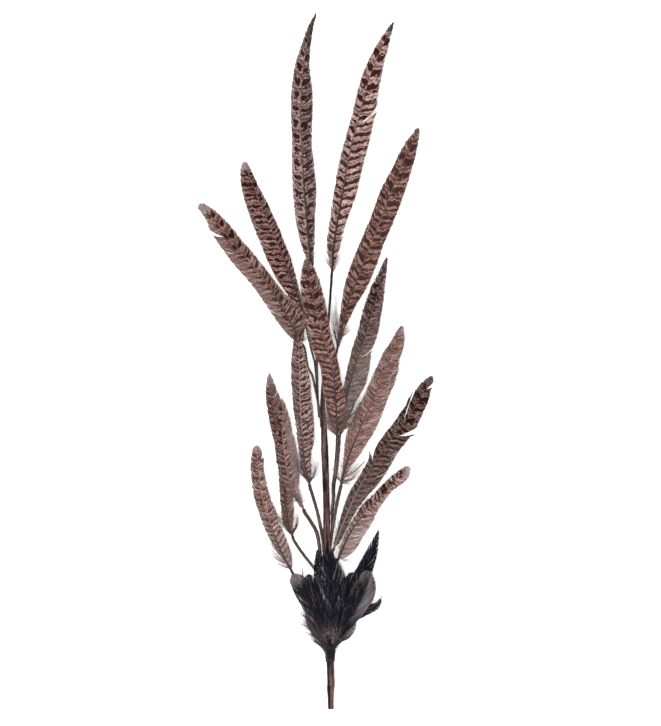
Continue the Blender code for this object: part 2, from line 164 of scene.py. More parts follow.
# A branch runs from its feather's quill, through the points of its way, to a place on the stem: its Y, and
# the angle around the stem, where 0 is the right side and 90 the front.
BRANCHES = {
    "top_left": Branch(((0.5, 30, 13.5), (2, -7, 16.5)), -52, 165, 1.2),
    "upper_right": Branch(((17.5, -6, 15),), -42, 0, 1.2),
    "upper_left": Branch(((-4, 13, 11.5), (0.5, -7, 12.5)), -56, 205, 1.2),
    "far_left": Branch(((-7, -6, 18), (-2, -17, 18.5)), -66, 125, 1.2),
    "middle_left": Branch(((-3, -132, 21.8), (3, -153, 21.8)), -190, 125, 1.7),
    "middle_right": Branch(((22.5, -139, 23.5), (19.5, -155, 23.5)), -195, 55, 1.7),
    "right": Branch((), -218, 20, 1.5),
    "low_left_back": Branch(((-12, -193, 12.5),), -230, 170, 1.5),
    "low_left_front": Branch(((-5, -159, 18.8), (2, -172, 19.2)), -204, 155, 1.9),
    "bottom_left": Branch(((-10, -225, 10.5),), -250, 195, 1.4),
    "bottom_right": Branch((), -234, 52, 1.4),
}

# The thicker branch that holds both front feathers
FRONT_BRANCH = Branch(((22.7, -89, 23.4), (20.8, -109, 22), (18.5, -125, 20.6)), -152, 12, 2.7)
FRONT_BRANCH_TOP = (23.5, -73, 23.9)

BINDING_Y = (-301, -285)
BINDING_RADII = (4.6, 5.5)  # at its lower and its upper end
TUFT_Y = -284.1  # where the tuft's quills begin
TUFT_OUT = 5.2  # their distance from the stem's axis

TuftFeather = namedtuple("TuftFeather", "angle way widths camber")

# A tuft feather leaves the binding at an angle around the stem. Its half-widths are at each fifth of it.
TUFT = {
    "centre": TuftFeather(
        93, ((16.8, -259, 21.5), (16, -229, 29.5), (14, -204, 31), (12, -189, 31)),
        (7, 13, 16.5, 13.5, 4), 14,
    ),
    "left_small": TuftFeather(
        124, ((8, -262, 16.5), (4.5, -235, 21.5), (2.5, -210, 23), (2.5, -188, 24)), (2.5, 3.5, 4, 3.5, 1), 8
    ),
    "left": TuftFeather(
        160, ((3, -262, 14), (-5, -243, 17.5), (-13, -227, 20.5), (-22, -213, 22)), (4, 7, 8.5, 9, 6), 12
    ),
    "right_tall": TuftFeather(
        24, ((27, -263, 15.5), (36, -240, 20), (45, -217, 22), (54, -198, 22), (63.5, -169, 20)),
        (4, 7.5, 8, 6, 1), 8,
    ),
    "right_round": TuftFeather(
        48, ((29.5, -264, 22.5), (42, -242, 31), (50, -224, 33), (52, -208, 32)), (3.5, 8, 11, 11.5, 4), 12
    ),
    "right_low": TuftFeather(
        -8, ((27, -270, 10), (36, -257, 13), (48, -250, 14.5), (61, -245, 14), (66, -238, 13)),
        (3, 5, 5.5, 4.5, 1), 8,
    ),
    "right_brown": TuftFeather(
        -38, ((25, -275, 6.5), (33, -267, 7.5), (40, -259, 7)), (5, 8, 8.5, 6.5, 2), 8
    ),
    "left_brown": TuftFeather(
        200, ((4, -270, 8), (-2, -257, 8), (-9, -243, 7.5)), (5, 8, 8.5, 6, 2), 8
    ),
    "under_left": TuftFeather(
        240, ((6, -264, 1.8), (-1, -240, 0.8), (-7, -214, 0)), (6, 10, 11, 9, 3), 0
    ),
    "under_right": TuftFeather(
        300, ((24, -264, 1.8), (31, -240, 0.8), (38, -212, 0)), (6, 10, 11, 9, 3), 0
    ),
}

# Barbs
VANE_STEPS = 301  # places along a spine at which a vane's directions and widths are known
OUTLINE_STEPS = 1500
SPACING = 0.45  # between the tips of neighbouring barbs, along the outline
BARB_POINTS = 9
BARB_WIDE = (0.12, 0.42)  # the least and the most that half the width of a barb may be
HAIR_WIDE = 0.13  # half the width of a loose barb at its root
OVERLAP = 0.85  # half the width of a barb, as a share of the distance to the next
SHINGLE = 0.35  # how far each barb is tilted over the next
HAIR_TILT = 0.3
ROOT = 0.1  # a barb begins so far from the middle of the shaft, and so high
SHAFT_SIDES = 8
SHAFT_LIFT = 0.15
NARROWEST = 0.02  # radius at which a shaft and a rod are drawn together at their ends
UP = np.array((0.0, 0.0, 1.0))


def unit(vectors):
    return vectors / np.linalg.norm(vectors, axis=-1, keepdims=True)


def smooth_line(points, steps=24):
    """Dense points of a smooth curve through the given ones, with any number of values each."""
    given = np.array(points, float)
    held = np.vstack([2 * given[0] - given[1], given, 2 * given[-1] - given[-2]])
    t = np.linspace(0, 1, steps, endpoint=False)[:, None]
    runs = []
    for a, b, c, d in zip(held[:-3], held[1:-2], held[2:-1], held[3:]):
        square = a - 2.5 * b + 2 * c - d / 2
        cube = 1.5 * (b - c) + (d - a) / 2
        runs.append(b + (c - a) * t / 2 + square * t**2 + cube * t**3)
    return np.vstack([*runs, given[-1:]])


def reach_of(line):
    """How far along a line each of its points is."""
    return np.r_[0, np.cumsum(np.linalg.norm(np.diff(line, axis=0), axis=1))]


def columns_at(wanted, known, columns):
    """Every column's value at the wanted places."""
    return np.stack([np.interp(wanted, known, column) for column in columns.T], axis=-1)


def points_at(points, shares):
    """Points at the given shares of a smooth curve's length."""
    line = smooth_line(points)
    reach = reach_of(line[:, :3])
    return columns_at(shares, reach / reach[-1], line)


def width_at(shares, widths, quill):
    """Half-widths of a vane at the given shares of its spine."""
    steps = np.linspace(0, 1, len(widths) + 1)
    line = smooth_line(list(zip(steps, (quill, *widths))))
    return np.interp(shares, line[:, 0], np.maximum(line[:, 1], quill * 0.4))


def ripple(places, scale, rng):
    """A smooth random value from -1 to 1 along a line of places, which changes over about the scale."""
    low = np.min(places)
    knots = np.arange(0, (np.max(places) - low) / scale + 3)
    values = rng.uniform(-1, 1, len(knots))
    at = (places - low) / scale
    whole = np.floor(at).astype(int)
    part = at - whole
    part = part * part * (3 - 2 * part)
    return values[whole] * (1 - part) + values[whole + 1] * part


def stem_at(y):
    """The stem's axis point, its radius there, and the directions to its right and to its front."""
    line = smooth_line(STEM)
    centre, before, after = (columns_at(at, line[:, 1], line[:, :3]) for at in (y, y - 2, y + 2))
    along = unit(after - before)
    right = unit(np.cross(along, UP))
    return centre, np.interp(y, line[:, 1], line[:, 3]), right, np.cross(right, along)


def beside_stem(y, angle, distance):
    """A point at a distance from the stem's axis, at an angle around it."""
    centre, _, right, front = stem_at(y)
    turn = math.radians(angle)
    return centre + distance * (right * math.cos(turn) + front * math.sin(turn))


# Parts of a mesh

Part = namedtuple("Part", "points faces uv uv_faces values slot")


def quads(count, rows, columns, closed=False):
    """Point numbers of the faces of many grids of rows and columns, whose rows may close in rings."""
    one = np.arange(columns if closed else columns - 1)
    two = (one + 1) % columns
    row = np.arange(rows - 1)[:, None] * columns
    faces = np.stack([row + one, row + two, row + columns + two, row + columns + one], axis=-1)
    starts = np.arange(count)[:, None, None] * rows * columns
    return (starts + faces.reshape(-1, 4)).reshape(-1, 4)


def grids(points, uv, values, slot=0, closed=False):
    """A part made of grids: points by count, row and column, and flat places and values at each point."""
    count, rows, columns = points.shape[:3]
    flat = {name: np.broadcast_to(value, points.shape[:3]).ravel() for name, value in values.items()}
    faces = quads(count, rows, columns, closed)
    uv_faces = quads(count, rows, uv.shape[2])
    return Part(points.reshape(-1, 3), faces, uv.reshape(-1, 2), uv_faces, flat, slot)


def ring_uv(sides, rows, low=0.0, high=1.0):
    """Flat places of a rod's rings, between two heights of the picture."""
    return np.stack(np.meshgrid(np.linspace(low, high, sides + 1), np.linspace(0, 1, rows)), axis=-1)[None]


# What a mesh holds at every point: mm from the tip, mm to the left of the shaft, the share of the barb's
# length, a random value of the barb, one of its lock, and how downy it is. On a wrapped rod the first three
# are the distance along, the turn around and the place between the tape's edges.
VALUES = ("from_tip", "across", "reach", "chance", "lock", "down")


def linked(name, data):
    """A new object in the scene."""
    made = bpy.data.objects.new(name, data)
    bpy.context.scene.collection.objects.link(made)
    return made


def piece(name, parts, materials, node):
    """The mesh of several parts, which replaces a node of the frame."""
    starts = np.cumsum([0] + [len(part.points) for part in parts])
    uv_starts = np.cumsum([0] + [len(part.uv) for part in parts])
    points = np.vstack([part.points for part in parts])
    faces = np.vstack([part.faces + start for part, start in zip(parts, starts)])
    mesh = bpy.data.meshes.new(name)
    mesh.from_pydata((points - (*MIDDLE, 0)) * MM, [], faces)
    uv = np.vstack([part.uv for part in parts])
    corners = np.vstack([part.uv_faces + start for part, start in zip(parts, uv_starts)])
    layer = mesh.uv_layers.new(name="OFBake")
    layer.uv.foreach_set("vector", uv[corners.ravel()].ravel())
    for value in VALUES:
        column = [part.values.get(value, np.zeros(len(part.points))) for part in parts]
        mesh.attributes.new(value, "FLOAT", "POINT").data.foreach_set("value", np.concatenate(column))
    slots = np.concatenate([np.full(len(part.faces), part.slot) for part in parts])
    mesh.polygons.foreach_set("material_index", slots)
    mesh.polygons.foreach_set("use_smooth", slots > 0)
    for material in materials:
        mesh.materials.append(material)
    made = linked(name, mesh)
    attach(made, "root")
    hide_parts(node)
    return made


# Materials


class Value:
    """What a node gives out. Sums and products of values are nodes too."""

    def __init__(self, graph, socket):
        self.graph = graph
        self.socket = socket

    def __add__(self, other):
        return self.graph.math("ADD", self, other)

    def __sub__(self, other):
        return self.graph.math("SUBTRACT", self, other)

    def __rsub__(self, other):
        return self.graph.math("SUBTRACT", other, self)

    def __mul__(self, other):
        return self.graph.math("MULTIPLY", self, other)

    def __abs__(self):
        return self.graph.math("ABSOLUTE", self)

    __radd__ = __add__


class Graph:
    """Short calls that build the nodes of a material or a world."""

    def __init__(self, owner, last="Principled BSDF"):
        owner.use_nodes = True
        self.owner = owner
        self.tree = owner.node_tree
        self.last = self.tree.nodes[last]

    def put(self, socket, value):
        if isinstance(value, Value):
            self.tree.links.new(value.socket, socket)
        else:
            socket.default_value = value

    def node(self, kind, inputs, output=0, **settings):
        """What a new node gives out, from its inputs in order or by their number or name."""
        made = self.tree.nodes.new(f"ShaderNode{kind}")
        for name, value in settings.items():
            setattr(made, name, value)
        named = inputs if isinstance(inputs, dict) else dict(enumerate(inputs))
        for place, value in named.items():
            self.put(made.inputs[place], value)
        return Value(self, made.outputs[output])

    def read(self, name):
        """A value that the mesh holds at every point."""
        return self.node("Attribute", (), "Fac", attribute_name=name)

    def math(self, operation, *terms):
        return self.node("Math", terms, operation=operation)

    def step(self, value, low, high, start=0.0, end=1.0):
        """A smooth change from start to end while the value goes from low to high."""
        return self.node("MapRange", (value, low, high, start, end), interpolation_type="SMOOTHSTEP")

    def mix(self, share, one, two, kind="MIX"):
        """One colour with a share of the other."""
        one, two = ((*colour, 1) if isinstance(colour, tuple) else colour for colour in (one, two))
        inputs = {"Factor": share, 6: one, 7: two}
        return self.node("Mix", inputs, 2, data_type="RGBA", blend_type=kind)

    def shade(self, colour, factor):
        """A colour times another, or times a value."""
        if isinstance(factor, Value):
            factor = self.node("CombineColor", (factor,) * 3)
        return self.mix(1.0, colour, factor, "MULTIPLY")

    def noise(self, place, scale, detail=2.0):
        """Noise about 0, from -0.5 to 0.5."""
        vector = self.node("CombineXYZ", place)
        return self.node("TexNoise", {"Vector": vector, "Scale": scale, "Detail": detail}) - 0.5

    def by_side(self, side, values):
        """The first value on the left vane, where the side is 1, and the second on the right one."""
        left, right = values
        return self.step(side, -1.0, 1.0, right, left)

    def feed(self, name, value):
        """Feeds an input of the shader or of the world's background."""
        self.put(self.last.inputs[name], value)

    def bump(self, height, distance, strength):
        inputs = {"Strength": strength, "Distance": distance, "Height": height}
        self.feed("Normal", self.node("Bump", inputs))

    def finish(self, colour, roughness, gloss):
        self.feed("Base Color", colour)
        self.feed("Roughness", roughness)
        self.feed("Specular IOR Level", gloss)
        return self.owner


def blend(one, two, share):
    """A constant colour between two."""
    return tuple(first + share * (second - first) for first, second in zip(one, two))


# Looks of the barred feathers. The period of the bars is in mm. The share of fine bars and how dark the bars
# are go from the tip to the quill. These are for the left and the right vane: how much of the bars it keeps,
# how bright it is, and how far its bars close into round spots. The shaft's brightness is for its two ends.
# The tip's reach in mm comes with its paleness.
Look = namedtuple("Look", "period fine bars kept bright warm pale_end shaft tip beads", defaults=((0, 0),))

LOOKS = {
    "top_left": Look(
        14, (0.15, 0.45), (1, 1), (1, 0.95), (0.78, 0.6), 0.15, 0.05, (0.9, 0.22), (45, 0), (0.9, 0.1)
    ),
    "top_right": Look(
        17, (0.05, 0.85), (1, 1), (1, 1), (0.88, 1.02), 0.4, 0.1, (1.3, 0.15), (16, 0), (0.4, 0)
    ),
    "upper_right": Look(16, (0.3, 0.65), (0.9, 0.9), (1, 1), (0.6, 0.6), 1.15, 0.05, (1.4, 0.5), (8, 0.2)),
    "upper_left": Look(12, (0.55, 1), (1, 1), (1, 1), (0.68, 0.52), 0.85, 0.05, (1.2, 0.33), (12, 0.8)),
    "far_left": Look(
        14, (0.1, 0.9), (1, 0.95), (0.45, 1), (0.7, 0.66), 0.8, 0.1, (1.2, 0.5), (17, 0.85), (0, 0.6)
    ),
    "front": Look(12, (0.3, 0.9), (0.95, 0.9), (1, 1), (0.68, 0.64), 1, 0.05, (1.4, 0.4), (8, 0.4)),
    "front_right": Look(10, (0.5, 1), (1, 0.7), (1, 0.75), (0.37, 0.54), 0.4, 1, (1, 0.33), (14, 0.1)),
    "middle_left": Look(11, (0.6, 0.9), (0.95, 0.95), (0.6, 1), (0.52, 0.86), 0.3, 0.1, (3.2, 0.5), (8, 0)),
    "middle_right": Look(
        13, (0.4, 0.9), (0.65, 0.55), (1, 0.8), (0.7, 0.72), 0.8, 0.15, (1.2, 0.35), (10, 0.6)
    ),
    "right": Look(12, (0.4, 1), (1, 0.9), (1, 1), (0.36, 0.43), 0.6, 0.8, (0.9, 2.4), (12, 0.2)),
    "low_left_back": Look(
        10, (0.6, 0.9), (0.85, 0.8), (1, 0.45), (0.47, 0.6), 0.9, 0.1, (1, 0.4), (14, 0.8)
    ),
    "low_left_front": Look(
        11, (0.6, 0.9), (0.95, 0.7), (1, 0.25), (0.52, 0.82), 0.45, 0.2, (3, 1.5), (6, 0.6)
    ),
    "bottom_left": Look(11, (0.5, 0.9), (0.85, 1), (0.9, 1), (0.7, 1), 0.6, 0.7, (3, 0.3), (9, 0.9)),
    "bottom_right": Look(11, (0.5, 0.9), (1, 0.8), (1, 0.6), (0.7, 1.04), 0.5, 0.7, (1.2, 0.35), (10, 0.9)),
}

PALE = (0.42, 0.29, 0.275)
HALO = (0.54, 0.405, 0.385)
GROUND = (0.14, 0.071, 0.066)
RUST = (0.155, 0.062, 0.041)
DARK = (0.04, 0.012, 0.011)
MAUVE = (0.27, 0.195, 0.195)
TIP_GREY = (0.042, 0.031, 0.033)
TIP_LIGHT = (0.33, 0.262, 0.248)
PALE_END = (0.36, 0.31, 0.305)
DOWN = (0.14, 0.11, 0.11)
WARMTH = (0, 0.17, 0.25)  # how much of its red, green and blue the warmest feather loses
FROM_TIP = (30.0, 120.0)  # the looks change from the tip's to the quill's over these distances from the tip


def barred_ground(graph, look, spot, wave, kept, pale_end):
    """The pinkish brown between the bars: mottled, and paler at the edge, by the bars and at the quill."""
    mottle = graph.step(graph.noise(spot, 0.6), -0.05, 0.2) * 0.6
    edge = graph.step(graph.read("reach"), 0.75, 1.0) * 0.4
    plain = blend(GROUND, RUST, min(1.0, look.warm))
    ground = graph.mix(graph.math("MAXIMUM", mottle, edge), plain, PALE)
    ground = graph.mix(graph.step(wave, -0.85, -0.6) * 0.75, ground, HALO)
    ground = graph.mix(1.0 - kept, ground, MAUVE)
    return graph.mix(pale_end, ground, PALE_END)


def barred_material(name, look, length, seed):
    """Barbs with dark bars that slant with them, over a mottled ground."""
    graph = Graph(bpy.data.materials.new(name))
    tip, across, reach, chance, lock, down = (graph.read(value) for value in VALUES)
    side = graph.math("SIGN", across)
    spot = (tip, across, seed * 7.0)
    slanted = tip + abs(across) * 0.5
    streaks = graph.noise((slanted, across * 0.3, seed * 3.0), 0.7, 3.0)
    blotches = graph.noise(spot, 0.28, 3.0)
    warp = graph.noise(spot, 0.07) * 9.0 + graph.noise(spot, 0.24, 1.0) * 3.5
    jag = chance * 0.4 + lock * 0.6
    turn = (slanted + warp + jag + side * (look.period * 0.08)) * (2 * math.pi / look.period)
    narrow = graph.math("SINE", turn * 2.0 + 0.6)
    to_quill = graph.step(tip, *FROM_TIP)
    fine = graph.step(to_quill, 0.0, 1.0, *look.fine)
    rim = graph.step(abs(reach - 0.45), 0.15, 0.5) * graph.by_side(side, look.beads)
    wave = graph.math("SINE", turn) * (1.15 - fine) + narrow * (0.25 + fine * 0.75)
    wave = wave + blotches * 2.4 + streaks * 2.2 - rim * 1.5
    kept = 1.0 - (1.0 - graph.by_side(side, look.kept)) * graph.step(reach, 0.1, 0.55)
    pale_end = graph.step(tip, length * 0.4, length * 0.9, 0.0, look.pale_end)
    strength = graph.step(to_quill, 0.0, 1.0, *look.bars) * kept * graph.step(reach, 0.8, 1.0, 1.0, 0.6)
    dark = graph.step(wave, -0.1, 0.2) * strength * (1.0 - pale_end * 0.45)
    colour = graph.mix(dark, barred_ground(graph, look, spot, wave, kept, pale_end), DARK)
    colour = graph.mix(down, colour, DOWN)
    colour = graph.shade(colour, graph.by_side(side, look.bright))
    colour = graph.shade(colour, tuple(1 - look.warm * loss for loss in WARMTH))
    tip_reach, paleness = look.tip
    near_tip = graph.step(tip + blotches * tip_reach, tip_reach, tip_reach * 0.4, 0.0, 0.85)
    colour = graph.mix(near_tip, colour, blend(TIP_GREY, TIP_LIGHT, paleness))
    colour = graph.shade(colour, 1.0 + lock * 0.2 + chance * 0.3 + streaks * 2.0)
    return graph.finish(colour, 0.8 + lock * 0.08, 0.06)


HORN = (0.1, 0.056, 0.049)


def shaft_material(name, look, length):
    """A horny shaft, of one brightness towards the tip and of another towards the quill."""
    graph = Graph(bpy.data.materials.new(name))
    tip = graph.read("from_tip")
    far, near = (tuple(bright * value for value in HORN) for bright in look.shaft)
    colour = graph.mix(graph.step(tip, length * 0.45, length * 0.8), far, near)
    grain = graph.noise((tip, graph.read("reach") * 8.0, 0.0), 0.5, 3.0)
    return graph.finish(graph.shade(colour, 1.0 + grain * 0.7), 0.5 + grain * 0.2, 0.25)


# Feathers


class Vane:
    """A feather's own coordinates: share of the spine, distance to the left of it and height above it."""

    def __init__(self, spine, left, right, camber, quill):
        self.shares = np.linspace(0, 1, VANE_STEPS)
        self.line = points_at(spine, self.shares)
        self.length = np.linalg.norm(np.diff(self.line, axis=0), axis=1).sum()
        self.along = unit(np.gradient(self.line, axis=0))
        self.to_left = unit(np.cross(UP, self.along))
        self.up = np.cross(self.along, self.to_left)
        self.slope = math.tan(math.radians(camber))
        self.quill = quill
        self.outlines = {1: self.outline(left), -1: self.outline(right)}

    def outline(self, widths):
        """Half-widths of one side, rounded off at the tip."""
        plain = width_at(self.shares, widths, self.quill)
        cap = max(0.02, 0.9 * widths[-1] / self.length)
        past = np.clip((self.shares - 1 + cap) / cap, 0, 1)
        return plain * np.sqrt(1 - past**2)

    def reach(self, side, share):
        return np.interp(share, self.shares, self.outlines[side])

    def place(self, share, across, lift):
        """Points of the design, pressed flat where they would pass below the surface."""
        known = (self.line, self.to_left, self.up, self.along)
        centre, to_left, up, along = (columns_at(share, self.shares, columns) for columns in known)
        past = share - np.clip(share, 0, 1)
        droop = self.slope * np.clip(share / DROOPS_BY, 0, 1) * np.abs(across)
        spots = centre + along * (past * self.length)[..., None]
        spots += to_left * across[..., None] + up * (lift - droop)[..., None]
        spots[..., 2] = np.maximum(spots[..., 2], LOWEST + 0.2 * np.abs(lift))
        return spots


def ribbons(paths, half_widths, tilt):
    """Two edges of flat ribbons along many paths, each tilted over the next."""
    along = unit(np.gradient(paths, axis=1) + 1e-9)
    sideways = unit(np.cross(along, UP) + 1e-9) + UP * tilt
    edge = sideways * half_widths[..., None]
    return np.stack([paths - edge, paths + edge], axis=2)


def strip_uv(count, left, right):
    """Flat places of many ribbons: each runs from left to right, one above the other."""
    across = np.linspace(left, right, BARB_POINTS)[None, :, None]
    up = (np.arange(count)[:, None, None] + np.array((0.1, 0.9))) / count
    return np.stack(np.broadcast_arrays(across, up), axis=-1)


def share_of_vane(paths):
    """Half-widths with which neighbouring barbs just overlap, except where the vane has parted."""
    sideways = unit(np.cross(np.gradient(paths, axis=1), UP) + 1e-9)
    apart = np.abs((np.gradient(paths, axis=0) * sideways).sum(axis=-1))
    return np.clip(OVERLAP * apart, *BARB_WIDE)


Split = namedtuple("Split", "side share opening depth proud lean trim", defaults=(0, 0))

# Where a vane has parted: on its left (1) or right (-1), at a share of its spine, how wide and how deep the
# gap is, and how far the tips behind it stand out and lean forward. Trim is the share that the barbs before
# it lack of their length.
SPLITS = {
    "top_right": (Split(-1, 0.655, 7, 0.95, 1.5), Split(-1, 0.9, 2, 0.5, 1)),
    "far_left": (Split(1, 0.83, 8, 0.8, 1),),
    "front_right": (Split(-1, 0.5, 3.5, 0.95, 0),),
    "middle_right": (Split(-1, 0.72, 3, 0.4, 0),),
    "right": (
        Split(1, 0.805, 3, 0.9, 2, 20, 0.5),
        Split(1, 0.52, 5, 0.5, 3),
        Split(-1, 0.96, 6, 0.8, 1),
        Split(-1, 0.735, 8, 0.75, 3),
    ),
    "bottom_left": (Split(-1, 0.93, 4, 0.6, 1),),
    "low_left_back": (Split(1, 0.8, 2, 0.4, 0),),
}

SPLIT_FADES = 7  # a split's opening fades over so many mm
SPLIT_LEANS = 9  # and its leaning tips over so many
SPLIT_TRIMS = 22
LEAN_LOSS = 0.018  # the most of its length that a barb loses for every mm that it leans

WISP_LIFT = 0.7  # how high loose barbs lie above their feather's shaft
Wisp = namedtuple("Wisp", "x y to_x to_y bow count fan down")

# Loose barbs that the photo shows apart from the vanes: X and Y of the start and the end, the bow, how many,
# how far they fan out at the end, and how downy they are.
WISPS = {
    "top_left": ((-2, 92, 2, 96, 0.1, 3, 1, 0.4),),
    "top_right": (
        (17, 90, 6, 108, 0.05, 12, 2, 0.9), (17, 95, 9, 114, 0.05, 10, 1.5, 0.8),
        (18.5, 90, 30, 109, -0.05, 14, 2, 0.9), (51, 240, 66, 264, 0.05, 12, 1.2, 0.3),
        (68, 300, 75, 313, 0, 3, 0.8, 0.2), (65, 283, 71, 296, 0, 3, 0.8, 0.2),
    ),
    "upper_right": (
        (23, 14, 17.5, 56, -0.04, 16, 2.5, 0.7), (24, 22, 21, 70, -0.04, 14, 2, 0.8),
        (26, 24, 36, 38, 0.1, 8, 2, 0.6),
    ),
    "far_left": (
        (-14, 20, -25, 24, -0.2, 8, 3, 0.7), (-12, 20, -8, 34, 0.2, 8, 3, 0.6),
    ),
    "front": (
        (20.5, -73, 13, -46, -0.15, 36, 4, 0.7), (20.5, -70, 12, -34, -0.1, 24, 3, 0.5),
        (23, -72, 31, -47, 0.15, 24, 3, 0.6),
    ),
    "front_right": (
        (27, -62, 42, -34, 0.15, 36, 3.5, 0.5), (26, -69, 38, -50, 0.15, 26, 3.5, 0.7),
    ),
    "middle_left": (
        (-6, -120, -16, -90, -0.1, 40, 3, 0.7), (-5, -120, 2, -96, 0.1, 24, 2.5, 0.6),
    ),
    "middle_right": (
        (28, -116, 51, -95, 0.12, 20, 2.5, 0.6), (27, -120, 45, -109, 0.15, 22, 3, 0.7),
        (27, -122, 36, -119, 0.1, 20, 4, 0.8), (26, -120, 21, -102, -0.15, 22, 3, 0.7),
    ),
    "low_left_back": (
        (-23, -173, -36, -150, -0.1, 26, 3, 0.7), (-22, -172, -18, -150, 0.1, 20, 2, 0.5),
    ),
    "low_left_front": ((-14, -141, -6, -134, 0.05, 3, 0.7, 0.2),),
    "bottom_left": (
        (-27, -203, -48, -184, -0.1, 16, 3, 0.15), (-25, -207, -42, -196, -0.12, 14, 3, 0.15),
        (-32, -196, -46, -172, -0.08, 14, 2, 0.3),
    ),
    "bottom_right": ((25, -196, 43, -197, 0.15, 8, 1.5, 0.4),),
}

# How far forward barbs run for every mm out, at the quill, the middle and the tip; the least and the most mm
# of a lock; and by how many mm their lengths differ.
BarbStyle = namedtuple("BarbStyle", "forward locks ragged")
TAIL_STYLE = BarbStyle((0.95, 1.35, 1.7), (6, 14), 0.35)

# Down lies between two shares of the spine. Out and forward are the least and the most that it reaches out,
# in mm, and runs forward for every mm out.
Down = namedtuple("Down", "low high count out forward pale")
TAIL_DOWN = Down(0.012, 0.1, 46, (4, 11), (0.5, 2.0), 0.75)


def barb_ends(vane, side, rng):
    """Where one side's barbs end, along the outline and as shares of the spine, and the outline's length."""
    shares = np.linspace(0.015, 1, OUTLINE_STEPS)
    reach = vane.reach(side, shares)
    outline = np.r_[0, np.cumsum(np.hypot(np.diff(shares) * vane.length, np.diff(reach)))]
    count = int(outline[-1] / SPACING)
    along = np.linspace(0, outline[-1], count) + rng.uniform(-0.3, 0.3, count) * SPACING
    return along, np.interp(along, outline, shares), outline[-1]


def lock_values(along, outline_length, locks, rng):
    """How far each barb is drawn to the middle of its lock, how high the lock lies, and its own shade."""
    edges = np.cumsum(rng.uniform(*locks, int(outline_length / locks[0]) + 2))
    which = np.searchsorted(edges, along)
    middles = edges[which] - rng.uniform(2, 5, len(edges))[which]
    pull = rng.uniform(0.02, 0.2, len(edges))[which]
    raised = rng.uniform(-0.35, 0.45, len(edges))[which]
    shade = 0.55 * ripple(along, 2.2, rng) + 0.45 * rng.uniform(-1, 1, len(edges))[which]
    return (middles - along) * pull, raised, shade


def split_barbs(split, away, wide, u, rng):
    """How many mm forward a split moves barbs that end away from it, and what it adds to their length."""
    push = np.sign(away) * split.opening / 2 * np.exp(-np.abs(away) / SPLIT_FADES)
    late = np.clip((u - 1 + split.depth) / split.depth, 0, 1)
    behind = np.where(away < 0, np.exp(-((away / SPLIT_LEANS) ** 2)), 0)
    moved = push[:, None] * late**1.2 + (split.lean * behind)[:, None] * u**2
    longer = split.proud * behind**3 / np.maximum(wide, 2)
    longer -= split.lean * behind * rng.uniform(0, LEAN_LOSS, len(away))
    longer -= np.where(away > 0, split.trim * np.exp(-away / SPLIT_TRIMS), 0)
    return moved, longer


def side_barbs(vane, side, rng, style, splits):
    """All barbs of one side of a vane, from the quill to the tip."""
    along, tips, outline_length = barb_ends(vane, side, rng)
    wide = vane.reach(side, tips)
    forward = np.interp(tips, (0, 0.5, 1), style.forward)
    roots = np.maximum(tips - wide * forward / vane.length, 0.004)
    gather, raised, lock = lock_values(along, outline_length, style.locks, rng)
    chance = rng.uniform(-1, 1, len(along))
    u = np.linspace(0, 1, BARB_POINTS)[None, :]
    share = roots[:, None] + (tips - roots)[:, None] * u**1.2 + (gather / vane.length)[:, None] * u**3
    length = 1 + rng.normal(0, style.ragged, len(along)) / np.maximum(wide, 2)
    for split in splits:
        if split.side == side:
            moved, longer = split_barbs(split, (tips - split.share) * vane.length, wide, u, rng)
            share += moved / vane.length
            length += longer
    across = ROOT + (wide * length - ROOT)[:, None] * (1 - (1 - u) ** 1.25)
    lift = (raised + 0.25 * ripple(along, 1.4, rng))[:, None] * u**2 + ROOT * (1 - u)
    paths = vane.place(share, side * across, lift)
    half = share_of_vane(paths) * np.minimum(1, (1.05 - u) * 9)
    values = {
        "from_tip": ((1 - share) * vane.length)[..., None],
        "across": (side * across)[..., None],
        "reach": u[..., None],
        "chance": chance[:, None, None],
        "lock": lock[:, None, None],
    }
    uv = strip_uv(len(along), 0.5 + 0.03 * side, 0.5 + 0.5 * side)
    return grids(ribbons(paths, half, SHINGLE * side), uv, values)


def shaft(vane):
    """The quill and shaft of a feather: a rod with an oval section, which thins to a hair at the tip."""
    shares = np.r_[0, np.linspace(0, 0.992, 70), 0.995]
    centres = vane.place(shares, np.zeros_like(shares), np.full(shares.shape, SHAFT_LIFT))
    to_left, up = (columns_at(shares, vane.shares, columns) for columns in (vane.to_left, vane.up))
    wide = vane.quill * (0.14 + 0.72 * (1 - shares) ** 1.3)
    wide = np.where(shares < 0.03, vane.quill, wide)
    wide[[0, -1]] = NARROWEST
    turn = np.arange(SHAFT_SIDES) * 2 * math.pi / SHAFT_SIDES
    ring = to_left[:, None] * np.cos(turn)[:, None] * wide[:, None, None]
    ring = ring + up[:, None] * np.sin(turn)[:, None] * (wide * 0.85)[:, None, None]
    values = {
        "from_tip": ((1 - shares) * vane.length)[None, :, None],
        "reach": shares[None, :, None],
    }
    uv = ring_uv(SHAFT_SIDES, len(shares), 0.48, 0.52)
    return grids((centres[:, None] + ring)[None], uv, values, 1, True)


def hairs(starts, ends, bows, rng, values):
    """Fine loose barbs from starts to ends, which bow sideways by a share of their length."""
    u = np.linspace(0, 1, BARB_POINTS)[None, :, None]
    run = ends - starts
    sideways = unit(np.cross(run, UP) + 1e-9) * np.linalg.norm(run, axis=-1, keepdims=True)
    paths = starts[:, None] + run[:, None] * u
    paths = paths + sideways[:, None] * bows[:, None, None] * (4 * u * (1 - u))
    paths[..., 2] = np.maximum(paths[..., 2], LOWEST)
    half = HAIR_WIDE * (1.05 - u[..., 0] ** 2) * np.ones((len(starts), 1))
    held = {"reach": u, "chance": rng.uniform(-1, 1, len(starts))[:, None, None], **values}
    return grids(ribbons(paths, half, HAIR_TILT), strip_uv(len(starts), 0, 1), held)


